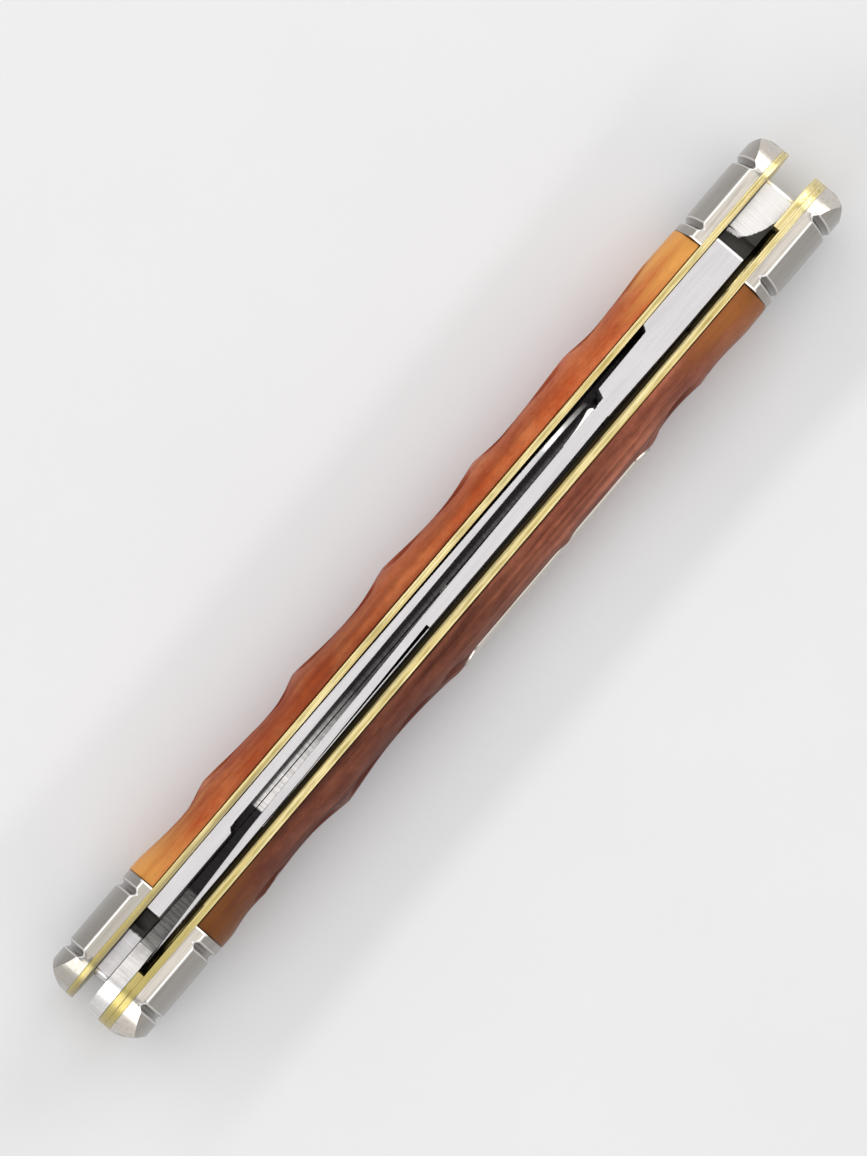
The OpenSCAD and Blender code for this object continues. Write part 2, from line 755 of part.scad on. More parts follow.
main_blade();
second_blade();
pile_backspring();
mark_backspring();
liner(1);  // pile_liner
liner(-1);  // mark_liner
spacer_liner();
bolster(1, 1);  // pile_main_bolster
bolster(-1, 1);  // mark_main_bolster
bolster(1, -1);  // pile_second_bolster
bolster(-1, -1);  // mark_second_bolster
pile_cover();
mark_cover();
shield();
shield_pins();
pivot_pin(1);  // main_pivot_pin
pivot_pin(-1);  // second_pivot_pin
centre_spring_pin();
cover_pins(1);  // pile_cover_pins
cover_pins(-1);  // mark_cover_pins
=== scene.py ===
import math

import bpy
import numpy as np
from mathutils import Matrix, Vector


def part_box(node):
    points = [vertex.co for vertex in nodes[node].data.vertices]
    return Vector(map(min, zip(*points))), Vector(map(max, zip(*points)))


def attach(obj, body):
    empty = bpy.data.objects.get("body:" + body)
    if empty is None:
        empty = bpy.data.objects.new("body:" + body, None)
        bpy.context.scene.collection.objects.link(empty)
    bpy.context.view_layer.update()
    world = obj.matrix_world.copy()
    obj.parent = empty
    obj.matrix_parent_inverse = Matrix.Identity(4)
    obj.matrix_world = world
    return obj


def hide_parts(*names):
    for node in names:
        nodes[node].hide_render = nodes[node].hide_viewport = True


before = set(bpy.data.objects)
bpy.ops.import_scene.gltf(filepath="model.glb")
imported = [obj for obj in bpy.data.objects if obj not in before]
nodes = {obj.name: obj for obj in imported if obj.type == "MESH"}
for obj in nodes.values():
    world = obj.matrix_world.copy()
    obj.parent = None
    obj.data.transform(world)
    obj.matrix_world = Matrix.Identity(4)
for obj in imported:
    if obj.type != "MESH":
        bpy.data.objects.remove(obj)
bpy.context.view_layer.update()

# Looks of a closed pocket knife that stands on its back. Lengths are in metres, and MM is one millimetre.
# X runs along the handle toward the main blade's pivot, +Y is the pile side and Z goes up to the open front.
MM = 0.001


# Places on the knife, in millimetres

SHOULDER_X, SHOULDER_Z = 41.4, 13.24  # just past both blades' shoulders, and the main blade's spine there
SHOULDER_HIGHLIGHT_X = 41.18  # where a highlight is painted along the main blade's shoulder edge
TANG_SIDE_X = 30.0  # each blade's tang is beyond this
TANG_X = 43.0  # from here out the main blade's tang is polished
NOTCH_X = 42.85  # how far out the painted shade beyond the main blade's shoulder reaches on the pile side
SHADE_CREEP = 3.8  # and how much further it reaches on the mark side
SECOND_SHADE = 1.05  # how much further it reaches beyond the second blade's shoulder
SPLIT_Y = 0.4  # between the two springs, and between the second blade's tang and the block
TIP_CURVE = (12.58, 5.1, 9.52)  # the second blade's spine curve at the tip: x and z of its centre, its radius
TIP_HIGHLIGHT_X = (15.0, 17.0, 22.4)  # where the highlight painted on that curve starts, is full and ends

HUMP_X, HUMP_Z = -4.4, 15.62  # the highest place of the main blade's spine
CLIP_FALL = math.tan(math.radians(8.0))  # how steeply the spine falls from there toward the tip
SWEDGE_END = -29.6  # where the swedge runs out toward the main blade's tip
SWEDGE_W, SWEDGE_LEAN = 0.42, 0.28  # its width at the hump, and its width for each millimetre of height
SWEDGE_SIDE = (-1.415, -1.32)  # its outer line, just out from the blade's side, at its end and at the hump
RELIEF_X = (16.6, 20.8, 21.4)  # where the heel's relief starts, is widest and ends
RELIEF_W = 0.42  # its greatest width
HEEL_SIDE = (16.5, 0.269, 0.0147)  # the heel's pile side: x and y of one point, and how much y grows with x

BLOCK_X = -37.5  # the mark spring's block lies beyond this
BLOCK_FRONT_Z = 12.9  # above this is its front face
BLOCK_GREY_X = (-48.4, -44.6)  # painted shade greys that face along this stretch
RAMP_X = -44.3  # where its ramp starts
RAMP_SCATTER_X = (-42.0, -38.5)  # the ramp is made less and less metallic along this stretch, so that its painted highlight scatters light
LIT_STRETCH_X = (-27.3, -22.5, -13.0)  # where the painted light on the mark spring starts, starts to fade and ends

LINER_Y = 2.4  # the middle of an outer liner
DULL_BRASS_X = (-44.0, -31.0)  # the brass is dull beyond the first of these, and clean from the second
OLIVE_X = (-27.0, -18.0)  # the pile liner's olive edge fades along this stretch
WELL_LOW_Z, WELL_HIGH_Z = (0.4, 0.9), (12.3, 12.95)  # the painted shade in the well starts and stops over these heights
WELL_END_X = (46.5, 49.0)  # and stops over this stretch at each end
SPACER_LINE_Y = -1.8  # the line along the spacer liner that the painted well shade leaves clear
RIM_Y = 3.82  # the outer edges of the bolsters' front faces
JOINT_X = 39.78  # their edges at the bone
GROOVES_X, GROOVE_W = (41.1, 48.7), 0.95  # the turned grooves
SHIELD_X, SHIELD_Z = (-4.5, 22.5), (4.5, 9.5)
RIDGE_X, RIDGE_W = 10.5, 0.9  # a ridge of bone that laps over the shield's edge
COVER_PINS = [(-31.0, 7.0), (31.0, 7.0)]  # x and z of the pins in each cover
PIN_R = 0.65


# Photograph and camera

PHOTO_H = 1156  # the photograph's height in pixels
PX_PER_MM = 10.66  # at the height of the handle's front edge
KNIFE_TURN = math.radians(49.64)  # from the picture's right edge up to the knife's +X
CAMERA_AIM = (-0.49 * MM, 1.54 * MM)  # the place at that height which the picture's middle shows
CAMERA_AWAY = 800 * MM
CAMERA_LEAN_X = math.radians(3.3)  # from straight above, toward the second blade's end
CAMERA_LEAN_Y = math.radians(1.4)  # and toward the mark side
SENSOR = 36.0


def make_camera():
    """A long lens nearly straight above the knife, turned as the photograph is."""
    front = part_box("pile_liner")[1].z
    right = Vector((math.cos(KNIFE_TURN), -math.sin(KNIFE_TURN), 0))
    up = Vector((math.sin(KNIFE_TURN), math.cos(KNIFE_TURN), 0))
    aim = Vector((*CAMERA_AIM, front))

    lean = Matrix.Rotation(-CAMERA_LEAN_X, 3, "Y") @ Matrix.Rotation(CAMERA_LEAN_Y, 3, "X")
    back = lean @ Vector((0, 0, 1))
    data = bpy.data.cameras.new("camera")
    data.sensor_width = SENSOR
    data.lens = PX_PER_MM / MM * CAMERA_AWAY / PHOTO_H * SENSOR
    data.clip_start = 0.01
    camera = bpy.data.objects.new("camera", data)
    turn = Matrix((lean @ right, lean @ up, back)).transposed().to_4x4()
    camera.matrix_world = Matrix.Translation(aim + back * CAMERA_AWAY) @ turn
    bpy.context.scene.collection.objects.link(camera)
    bpy.context.scene.camera = camera


# Node materials

class Graph:
    """A material's node tree with one Principled shader."""

    def __init__(self, name, **constants):
        self.material = bpy.data.materials.new(name)
        self.material.use_nodes = True
        self.tree = self.material.node_tree
        self.shader = self.tree.nodes["Principled BSDF"]
        for socket, value in constants.items():
            self.shader.inputs[socket.replace("_", " ")].default_value = value

    def node(self, kind, inputs=None, **settings):
        new = self.tree.nodes.new("ShaderNode" + kind)
        for key, value in settings.items():
            setattr(new, key, value)
        for key, value in (inputs or {}).items():
            if isinstance(value, bpy.types.NodeSocket):
                self.tree.links.new(value, new.inputs[key])
            else:
                new.inputs[key].default_value = value
        return new

    def drive(self, socket, value):
        self.tree.links.new(value, self.shader.inputs[socket])

    def place(self, scale):
        """Object coordinates in millimetres, times a scale for each axis."""
        where = self.node("TexCoord").outputs["Object"]
        size = tuple(s / MM for s in scale)
        return self.node("Mapping", {"Vector": where, "Scale": size}).outputs["Vector"]

    def position(self):
        """The sockets of x, y and z in millimetres."""
        split = self.node("SeparateXYZ", {"Vector": self.place((1, 1, 1))}).outputs
        return split["X"], split["Y"], split["Z"]

    def noise(self, scale, detail=3.0, roughness=0.5, distortion=0.0):
        inputs = {"Vector": self.place(scale), "Scale": 1.0, "Detail": detail,
                  "Roughness": roughness, "Distortion": distortion}
        return self.node("TexNoise", inputs).outputs["Fac"]

    def ramp(self, fac, *stops):
        new = self.node("ValToRGB", {"Fac": fac})
        elements = new.color_ramp.elements
        while len(elements) < len(stops):
            elements.new(0.5)
        for element, (at, color) in zip(elements, stops):
            element.position = at
            element.color = (*color, 1.0) if isinstance(color, tuple) else (color, color, color, 1.0)
        return new.outputs["Color"]

    def span(self, value, low, high, to_low, to_high):
        inputs = {"Value": value, "From Min": low, "From Max": high, "To Min": to_low, "To Max": to_high}
        return self.node("MapRange", inputs).outputs["Result"]

    def math(self, operation, a, b=0.0):
        return self.node("Math", {0: a, 1: b}, operation=operation).outputs[0]

    def times(self, first, *others):
        for value in others:
            first = self.math("MULTIPLY", first, value)
        return first

    def plus(self, a, b):
        return self.math("ADD", a, b)

    def minus(self, a, b):
        return self.math("SUBTRACT", a, b)

    def size(self, value):
        return self.math("ABSOLUTE", value)

    def mix(self, fac, a, b, blend="MIX"):
        new = self.node("Mix", data_type="RGBA", blend_type=blend)
        for index, value in ((0, fac), (6, a), (7, b)):
            if isinstance(value, bpy.types.NodeSocket):
                self.tree.links.new(value, new.inputs[index])
            else:
                new.inputs[index].default_value = (*value, 1.0) if isinstance(value, tuple) else value
        return new.outputs[2]

    def bump(self, *layers):
        """Each layer is a height from 0 to 1 and its depth in metres."""
        normal = None
        for height, depth in layers:
            inputs = {"Height": height, "Strength": 1.0, "Distance": depth}
            if normal is not None:
                inputs["Normal"] = normal
            normal = self.node("Bump", inputs).outputs["Normal"]
        self.drive("Normal", normal)


def satin_steel():
    """Steel ground across the blade: fine lines run from the spine to the edge, over faint lengthwise bands.
    Painted shade, nearly black, fills the notch beyond each blade's shoulder, and a highlight is painted on the
    main blade's shoulder edge and on the second blade's spine where it curves down to the tip. The upper half
    of the main blade's swedge is painted dark brown as a reflection of the dark parts beside it."""
    steel, pale, grey = (0.62, 0.60, 0.61), (0.72, 0.70, 0.71), (0.52, 0.50, 0.51)
    tang, bright, highlight_white = (0.95, 0.93, 0.90), (0.97, 0.96, 0.95), (0.95, 0.94, 0.93)
    painted_dark_brown, shade_black = (0.10, 0.075, 0.055), (0.07, 0.066, 0.06)
    g = Graph("blade_steel", Metallic=1.0)
    x, y, z = g.position()
    far_x = g.size(x)
    lines = g.noise((7, 0.4, 0.4), detail=4, roughness=0.6)
    bands = g.noise((0.1, 2.5, 2.5), detail=4)
    cloud = g.noise((0.2, 0.4, 0.4), detail=4)
    crumbs = g.noise((1.6, 1.6, 1.6), detail=5, roughness=0.7)

    base = g.mix(cloud, steel, pale)
    base = g.mix(g.span(bands, 0.4, 0.7, 0.0, 0.35), base, grey)
    base = g.mix(g.span(x, TANG_X - 0.5, TANG_X + 0.5, 0.0, 0.7), base, tang)
    # A highlight painted along the main blade's shoulder edge.
    rim_highlight = g.size(g.minus(x, SHOULDER_HIGHLIGHT_X))
    base = g.mix(g.span(rim_highlight, 0.07, 0.12, 1.0, 0.0), base, bright)

    # The painted shade's outer end is ragged, and lies further out toward the mark side, like a shadow's edge.
    main = g.span(x, TANG_SIDE_X, TANG_SIDE_X + 1.0, 0.0, 1.0)
    second = g.times(g.span(x, -TANG_SIDE_X - 1.0, -TANG_SIDE_X, 1.0, 0.0),
                     g.span(y, SPLIT_Y - 0.02, SPLIT_Y + 0.02, 0.0, 1.0))
    out = g.plus(far_x, g.span(crumbs, 0.3, 0.7, -0.2, 0.2))
    creep = g.times(main, g.math("POWER", g.span(y, -1.3, 1.3, 1.0, 0.0), 2.4))
    out = g.minus(out, g.times(creep, SHADE_CREEP))
    out = g.minus(out, g.times(second, SECOND_SHADE))
    # Painted shade: the notch beyond each shoulder is painted nearly black, and also roughened and bumped.
    notch_shade = g.times(g.span(far_x, SHOULDER_X, SHOULDER_X + 0.04, 0.0, 1.0),
                    g.span(out, NOTCH_X - 0.08, NOTCH_X + 0.08, 0.97, 0.0), g.plus(main, second))

    centre_x, centre_z, radius = TIP_CURVE
    dx, dz = g.minus(x, centre_x), g.minus(z, centre_z)
    away = g.math("SQRT", g.plus(g.times(dx, dx), g.times(dz, dz)))
    start, full, end = TIP_HIGHLIGHT_X
    # A highlight painted where the second blade's spine curves down to the tip; there the steel is also made
    # rougher and less metallic.
    tip_highlight = g.times(g.span(x, start, full, 0.0, 1.0), g.span(away, radius - 0.2, radius - 0.1, 0.0, 1.0),
                   g.span(y, 0.9, 1.0, 0.0, 1.0), g.span(x, end, end + 0.2, 1.0, 0.0))
    base = g.mix(tip_highlight, base, highlight_white)

    # The upper half of the main blade's swedge is painted dark brown, a painted reflection of the dark parts
    # beside it.
    width = g.span(x, SWEDGE_END, HUMP_X, 0.0, SWEDGE_W)
    inward = g.minus(y, g.span(x, SWEDGE_END, HUMP_X, *SWEDGE_SIDE))
    swedge_reflection = g.times(g.math("GREATER_THAN", inward, g.times(width, 0.55)),
                    g.math("LESS_THAN", inward, g.plus(width, 0.02)),
                    g.span(x, SWEDGE_END, SWEDGE_END + 3.0, 0.0, 1.0),
                    g.math("LESS_THAN", x, HUMP_X), g.math("GREATER_THAN", z, 8.0))
    base = g.mix(swedge_reflection, base, painted_dark_brown)

    g.drive("Base Color", g.mix(notch_shade, base, shade_black))
    rough = g.plus(g.span(lines, 0.3, 0.7, 0.24, 0.38), g.times(notch_shade, 0.3))
    g.drive("Roughness", g.plus(rough, g.times(tip_highlight, g.span(x, 17.5, 20.0, 0.1, 0.5))))
    g.drive("Metallic", g.minus(1.0, g.times(tip_highlight, g.span(x, 17.0, 19.5, 0.0, 0.9))))
    g.bump((lines, 0.0012 * MM), (bands, 0.002 * MM), (g.times(crumbs, notch_shade), 0.06 * MM))
    return g.material


def highlight_steel():
    """Bare ground steel with fine scratches, painted pale and made hardly metallic so that it shows as a painted
    highlight.
    """
    pale, scratch = (0.93, 0.91, 0.89), (0.7, 0.68, 0.66)
    g = Graph("highlight_steel", Metallic=0.25, Roughness=0.45)
    lines = g.noise((7, 0.4, 0.4), detail=4, roughness=0.6)
    g.drive("Base Color", g.mix(g.span(lines, 0.4, 0.7, 0.0, 0.4), pale, scratch))
    return g.material


def spring_steel():
    """Springs: ground bright on the handle's back, painted near black in the well as shade. The dead end's block
    is bright, but painted shade greys its front toward the ramp. The ramp is painted near white as a highlight,
    with crosswise scratches, and past it a stretch of the mark spring is painted bright as a pool of light."""
    pale, stained, scratch, dark = (0.82, 0.80, 0.78), (0.56, 0.54, 0.52), (0.42, 0.41, 0.40), (0.24, 0.23, 0.22)
    highlight_white, mark, well_shade_black = (1.0, 0.98, 0.96), (0.45, 0.44, 0.43), (0.03, 0.028, 0.03)
    g = Graph("spring_steel", Metallic=1.0)
    x, y, z = g.position()
    lines = g.noise((4, 0.35, 0.35), detail=4, roughness=0.65)
    stain = g.noise((0.8, 1.2, 1.2), detail=5, roughness=0.6)

    back = g.span(z, 0.4, 1.0, 1.0, 0.0)
    block = g.span(x, BLOCK_X - 0.1, BLOCK_X + 0.1, 1.0, 0.0)
    # A stretch of the mark spring is painted bright as a pool of light that fades toward the middle; its edges
    # beside the blades stay dark as painted shade.
    start, fade, end = LIT_STRETCH_X
    painted_light = g.times(g.span(x, start - 0.2, start, 0.0, 1.0), g.span(x, fade, end, 1.0, 0.12),
                     g.span(y, 0.7, 0.9, 1.0, 0.1), g.span(y, -0.3, -0.22, 0.05, 1.0))
    bright = g.math("MAXIMUM", g.math("MAXIMUM", back, block), painted_light)

    metal = g.mix(g.span(stain, 0.35, 0.7, 0.0, 0.4), pale, stained)
    metal = g.mix(g.span(lines, 0.4, 0.7, 0.0, 0.5), metal, scratch)
    front = g.times(block, g.span(z, BLOCK_FRONT_Z - 0.1, BLOCK_FRONT_Z + 0.1, 0.0, 1.0))
    # Painted shade greys the block's front toward the ramp.
    dull = g.times(g.span(x, *BLOCK_GREY_X, -0.8, 0.55), front, g.span(stain, 0.3, 0.6, 0.6, 1.0))
    metal = g.mix(dull, metal, dark)
    ramp = g.times(g.minus(block, front), g.span(x, RAMP_X - 0.2, RAMP_X, 0.0, 1.0))
    # The ramp is painted near white as a highlight, with darker crosswise scratches.
    ramp_highlight_and_scratches = g.mix(g.span(lines, 0.42, 0.6, 0.0, 0.75), highlight_white, mark)
    metal = g.mix(g.times(ramp, 0.9), metal, ramp_highlight_and_scratches)

    # Painted shade: all but the back, the block and the lit stretch is painted near black in the well.
    g.drive("Base Color", g.mix(bright, well_shade_black, metal))
    g.drive("Metallic", g.minus(1.0, g.times(ramp, g.span(x, *RAMP_SCATTER_X, 0.15, 0.5))))
    rough = g.minus(g.times(ramp, 0.45), g.times(painted_light, 0.14))
    g.drive("Roughness", g.plus(rough, g.span(lines, 0.3, 0.7, 0.2, 0.34)))
    g.bump((lines, 0.004 * MM), (stain, 0.006 * MM))
    return g.material


def liner_brass():
    """Brass with lengthwise draw lines and olive tarnish, painted near black brown inside the well as shade. It
    is duller toward the second blade's end, and olive along the pile liner's inner edge there."""
    dark, pale, tarnished = (0.66, 0.51, 0.19), (0.97, 0.86, 0.50), (0.36, 0.29, 0.08)
    dull, olive, painted_dark_brown = (0.46, 0.38, 0.13), (0.36, 0.30, 0.155), (0.02, 0.012, 0.005)
    g = Graph("liner_brass", Metallic=1.0)
    x, y, z = g.position()
    lines = g.noise((0.05, 7, 5), detail=4, roughness=0.6)
    patch = g.noise((0.3, 1.5, 0.9), detail=6, roughness=0.65)

    clean = g.mix(g.span(lines, 0.4, 0.62, 0.0, 1.0), dark, pale)
    middle = g.size(g.minus(g.size(y), LINER_Y))
    middle = g.times(g.span(middle, 0.06, 0.17, 1.0, 0.0), g.span(patch, 0.4, 0.6, 0.0, 0.7))
    tarnish = g.math("MAXIMUM", middle, g.span(g.plus(lines, patch), 1.02, 1.3, 0.0, 0.6))
    base = g.mix(tarnish, clean, tarnished)
    base = g.mix(g.span(x, *DULL_BRASS_X, 0.85, 0.0), base, dull)
    inner = g.times(g.span(y, 2.28, 2.48, 0.85, 0.0), g.span(y, 1.9, 2.0, 0.0, 1.0),
                    g.span(x, *OLIVE_X, 1.0, 0.0))
    base = g.mix(inner, base, olive)

    # Painted shade: the inside of the well is painted near black brown.
    inside = g.times(g.span(z, *WELL_LOW_Z, 0.0, 1.0), g.span(z, *WELL_HIGH_Z, 1.0, 0.0),
                     g.span(g.size(x), *WELL_END_X, 1.0, 0.0))
    well_shade = g.times(inside, g.span(patch, 0.3, 0.7, 0.98, 0.9))
    # A broken line along the spacer liner is left clear of the painted shade.
    line = g.times(g.span(g.size(g.minus(y, SPACER_LINE_Y)), 0.06, 0.12, 1.0, 0.0),
                   g.span(patch, 0.35, 0.55, 0.35, 0.9))
    well_shade = g.times(well_shade, g.minus(1.0, line))
    g.drive("Base Color", g.mix(well_shade, base, painted_dark_brown))
    g.drive("Roughness", g.minus(g.span(patch, 0.35, 0.7, 0.24, 0.4), g.times(inside, line, 0.2)))
    g.bump((lines, 0.002 * MM), (g.noise((4, 4, 4), detail=4), 0.001 * MM))
    return g.material


def nickel_silver():
    """Polished nickel silver with lengthwise scratches and stains, with highlights painted as bright rims along
    its front edges. The bolsters' sides are painted darker as a reflection of dark surroundings, with highlight
    lines painted beside grooves that are painted black inside as shade."""
    nickel, pale, stained = (0.58, 0.54, 0.48), (0.74, 0.68, 0.61), (0.36, 0.33, 0.28)
    scratch, grey, side = (0.42, 0.38, 0.33), (0.36, 0.34, 0.30), (0.16, 0.15, 0.135)
    edge, shade_black, painted_light = (0.95, 0.93, 0.9), (0.06, 0.056, 0.05), (0.98, 0.96, 0.92)
    g = Graph("nickel_silver", Metallic=1.0)
    x, y, z = g.position()
    far_x, far_y = g.size(x), g.size(y)
    lines = g.noise((0.1, 9, 9), detail=5, roughness=0.7)
    stray = g.noise((4, 0.3, 1.5), detail=2, distortion=0.4)
    cloud = g.noise((0.35, 0.6, 0.6), detail=5, roughness=0.6)
    stain = g.noise((0.16, 2.6, 2.6), detail=4, roughness=0.6)

    base = g.mix(cloud, nickel, pale)
    base = g.mix(g.span(stain, 0.48, 0.7, 0.0, 0.55), base, stained)
    base = g.mix(g.span(lines, 0.5, 0.72, 0.0, 0.5), base, scratch)
    # The pile bolster at the second blade's end is darker than the others.
    dull = g.times(g.math("LESS_THAN", x, -JOINT_X + 0.5), g.math("GREATER_THAN", y, 2.7), 0.6)
    base = g.mix(dull, base, grey)

    groove = g.math("MINIMUM", *(g.size(g.minus(far_x, at)) for at in GROOVES_X))
    dip = g.times(g.math("MAXIMUM", g.minus(GROOVE_W / 2, groove), 0.0), 0.8)
    across = g.size(g.minus(g.plus(far_y, dip), RIM_Y))
    along = g.size(g.minus(far_x, JOINT_X))
    # A highlight painted as a bright rim along the front faces' outer edges, following the grooves, and along
    # their edges at the bone.
    rim_highlight = g.times(g.span(g.math("MINIMUM", across, along), 0.08, 0.14, 1.0, 0.0),
                  g.span(z, 13.1, 13.3, 0.0, 1.0))

    # The bolsters' sides, picked out by which way they face, are painted dark as a reflection of dark
    # surroundings.
    facing = g.node("SeparateXYZ", {"Vector": g.node("TexCoord").outputs["Normal"]}).outputs
    bolster = g.span(far_x, JOINT_X - 0.4, JOINT_X - 0.2, 0.0, 1.0)
    side_reflection = g.times(g.span(g.size(facing["Y"]), 0.2, 0.45, 0.0, 0.6), bolster)
    base = g.mix(side_reflection, base, side)
    # A highlight line is painted beside each groove on the sides.
    line = g.span(g.size(g.minus(groove, GROOVE_W / 2)), 0.03, 0.09, 1.0, 0.0)
    base = g.mix(g.times(line, side_reflection), base, edge)
    # Painted shade: the grooves on the sides are painted black inside.
    groove_shade = g.times(g.span(groove, GROOVE_W / 2 - 0.15, GROOVE_W / 2 - 0.08, 1.0, 0.0), side_reflection)
    base = g.mix(groove_shade, base, shade_black)

    g.drive("Base Color", g.mix(rim_highlight, base, painted_light))
    g.drive("Roughness", g.span(lines, 0.3, 0.75, 0.14, 0.3))
    g.bump((lines, 0.0025 * MM), (g.ramp(stray, (0.66, 0.0), (0.7, 1.0)), 0.001 * MM),
           (g.noise((0.6, 0.6, 0.6), detail=4), 0.004 * MM))
    return g.material


def floor_paint():
    """Pale matt board."""
    g = Graph("floor_paint", Roughness=0.8)
    cloud = g.noise((0.02, 0.02, 0.02), detail=6, roughness=0.6)
    g.drive("Base Color", g.mix(cloud, (0.74, 0.74, 0.75), (0.8, 0.8, 0.81)))
    g.bump((g.noise((1.5, 1.5, 1.5), detail=5), 0.02 * MM))
    return g.material


def jigged_bone(name, middle, pale, deep, honey, bands, tone):
    """Dyed bone: honey near the bolsters and darker where the jig has cut, with painted shade down the sides,
    bands of tone and fine pores along the grain. bands is how strong the bands are, and tone is the brightness
    at even steps from end to end. The cut, side and seam values come with the cover's mesh; side is where the
    shade is painted."""
    g = Graph(name, Specular_IOR_Level=0.12)
    g.shader.inputs["Subsurface Weight"].default_value = 0.1
    g.shader.inputs["Subsurface Radius"].default_value = (1.0, 0.35, 0.12)
    g.shader.inputs["Subsurface Scale"].default_value = 0.7 * MM
    cut, side, seam = (g.node("Attribute", attribute_name=n, attribute_type="GEOMETRY").outputs["Fac"]
                       for n in ("cut", "side", "seam"))
    x = g.position()[0]
    cloud = g.noise((0.2, 0.4, 0.4), detail=6, roughness=0.62)
    streak = g.noise((0.04, 0.9, 0.9), detail=3, roughness=0.5, distortion=0.3)
    mottle = g.noise((0.9, 1.3, 1.3), detail=6, roughness=0.7)

    body = g.mix(g.span(cloud, 0.38, 0.62, 0.0, 1.0), middle, pale)
    body = g.mix(g.span(streak, 0.42, 0.62, 0.0, bands), body, deep)
    body = g.mix(g.span(mottle, 0.45, 0.7, 0.0, 0.3), body, deep)
    ragged = g.plus(g.size(x), g.span(streak, 0.3, 0.7, -4.0, 4.0))
    near_end = g.span(ragged, 30.0, 39.0, 0.0, 0.9)
    body = g.mix(near_end, body, honey)
    steps = ((i / (len(tone) - 1), level) for i, level in enumerate(tone))
    body = g.mix(1.0, body, g.ramp(g.span(x, -39.0, 39.0, 0.0, 1.0), *steps), "MULTIPLY")
    # Darker where the jig has cut, and painted shade down the sides, both less near the ends.
    dark = g.times(g.plus(g.times(cut, 0.75), g.times(side, 0.55)), g.span(near_end, 0.0, 1.0, 1.0, 0.55))
    body = g.mix(g.math("MINIMUM", dark, 0.92), body, deep)

    pores = g.span(g.noise((1.6, 8, 8), detail=3, roughness=0.7), 0.63, 0.72, 0.0, 1.0)
    body = g.mix(g.times(pores, 0.5), body, tuple(c * 0.3 for c in deep))
    body = g.mix(seam, body, tuple(c * 0.25 for c in deep))
    g.drive("Base Color", body)
    g.drive("Roughness", g.span(g.plus(cut, mottle), 0.3, 1.3, 0.34, 0.6))
    g.bump((g.minus(1.0, pores), 0.02 * MM), (mottle, 0.05 * MM), (streak, 0.03 * MM))
    return g.material


# CAD nodes

WELD = 0.002 * MM
FLAT_ANGLE, CORNER_ANGLE = math.radians(0.5), math.radians(35)


def dress(names, material, edge, clamp=True):
    """Gives CAD nodes a material and softens their corners by a small bevel. The triangles of each flat face
    are merged first, so that they don't hold the bevel back. clamp keeps the bevel from running into
    itself, but on the blades it would leave hardly any bevel."""
    for name in names:
        piece = nodes[name]
        for slot in piece.material_slots:
            slot.material = material
        weld = piece.modifiers.new("weld", "WELD")
        weld.merge_threshold = WELD
        flat = piece.modifiers.new("flat", "DECIMATE")
        flat.decimate_type = "DISSOLVE"
        flat.angle_limit = FLAT_ANGLE
        bevel = piece.modifiers.new("bevel", "BEVEL")
        bevel.width = edge
        bevel.segments = 2
        bevel.limit_method = "ANGLE"
        bevel.angle_limit = CORNER_ANGLE
        bevel.use_clamp_overlap = clamp
        piece.modifiers.new("normals", "WEIGHTED_NORMAL").keep_sharp = True
        piece.data.shade_smooth()


def mesh_object(name, verts, faces, material):
    mesh = bpy.data.meshes.new(name)
    mesh.from_pydata(verts, [], faces)
    mesh.materials.append(material)
    piece = bpy.data.objects.new(name, mesh)
    bpy.context.scene.collection.objects.link(piece)
    return piece


# Jigged covers

